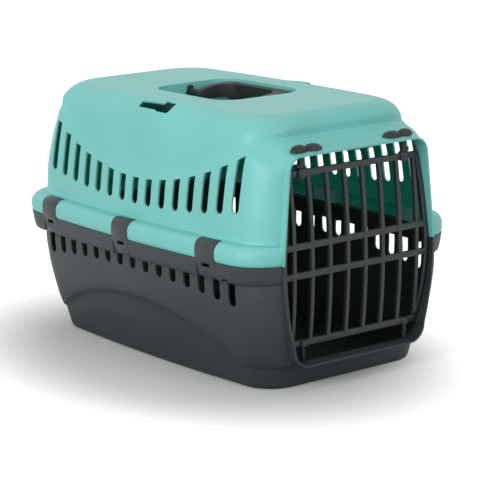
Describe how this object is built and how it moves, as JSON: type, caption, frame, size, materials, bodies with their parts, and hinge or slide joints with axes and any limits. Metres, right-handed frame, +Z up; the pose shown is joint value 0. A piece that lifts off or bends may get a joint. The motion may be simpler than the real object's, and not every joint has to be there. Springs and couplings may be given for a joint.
{
  "type": "pet carrier",
  "caption": "Two-shell plastic pet carrier with vented sides, a grille door on lift pins, rim clips and a fold-down handle in the roof.",
  "frame": {"origin": "on the ground under the middle of the rim", "axes": "+Z up, +Y towards the rear wall (the door faces -Y), +X to the side the handle folds to"},
  "size_m": [0.285, 0.4233, 0.272],
  "materials": {
    "base_dark": "fine satin grain",
    "top_green": "soft satin",
    "grille_dark": "satin",
    "fitting_dark": "satin"
  },
  "bodies": {
    "carrier": {"base_shell": "base_dark", "top_shell": "top_green"},
    "door": {"door": "grille_dark"},
    "latch_left": {"latch_left": "fitting_dark"},
    "latch_right": {"latch_right": "fitting_dark"},
    "clip_near_rear": {"clip_near_rear": "fitting_dark"},
    "clip_near_mid": {"clip_near_mid": "fitting_dark"},
    "clip_near_front": {"clip_near_front": "fitting_dark"},
    "clip_far_rear": {"clip_far_rear": "fitting_dark"},
    "clip_far_mid": {"clip_far_mid": "fitting_dark"},
    "clip_far_front": {"clip_far_front": "fitting_dark"},
    "handle": {"handle": "fitting_dark"}
  },
  "joints": [
    {"name": "door_swing", "type": "hinge", "parent": "carrier", "child": "door", "pos_m": [0.067, -0.2, 0.122], "axis": [0, 0, 1], "range_deg": [0, 110]},
    {"name": "latch_left_lift", "type": "slide", "parent": "carrier", "child": "latch_left", "axis": [0, 0, 1], "range_m": [0, 0.008]},
    {"name": "latch_right_lift", "type": "slide", "parent": "carrier", "child": "latch_right", "axis": [0, 0, 1], "range_m": [0, 0.008]},
    {"name": "clip_near_rear_swing", "type": "hinge", "parent": "carrier", "child": "clip_near_rear", "pos_m": [-0.13075, 0.14353, 0.1175], "axis": [-0.0676, -0.9977, 0], "range_deg": [0, 100]},
    {"name": "clip_near_mid_swing", "type": "hinge", "parent": "carrier", "child": "clip_near_mid", "pos_m": [-0.1355, 0.004, 0.1175], "axis": [-0.0005, -1, 0], "range_deg": [0, 100]},
    {"name": "clip_near_front_swing", "type": "hinge", "parent": "carrier", "child": "clip_near_front", "pos_m": [-0.13088, -0.13553, 0.1175], "axis": [0.0667, -0.9978, 0], "range_deg": [0, 100]},
    {"name": "clip_far_rear_swing", "type": "hinge", "parent": "carrier", "child": "clip_far_rear", "pos_m": [0.13075, 0.14353, 0.1175], "axis": [-0.0676, 0.9977, 0], "range_deg": [0, 100]},
    {"name": "clip_far_mid_swing", "type": "hinge", "parent": "carrier", "child": "clip_far_mid", "pos_m": [0.1355, 0.004, 0.1175], "axis": [-0.0005, 1, 0], "range_deg": [0, 100]},
    {"name": "clip_far_front_swing", "type": "hinge", "parent": "carrier", "child": "clip_far_front", "pos_m": [0.13088, -0.13553, 0.1175], "axis": [0.0667, 0.9978, 0], "range_deg": [0, 100]},
    {"name": "handle_fold", "type": "hinge", "parent": "carrier", "child": "handle", "pos_m": [0, 0.003, 0.2615], "axis": [0, -1, 0], "range_deg": [0, 180]}
  ]
}
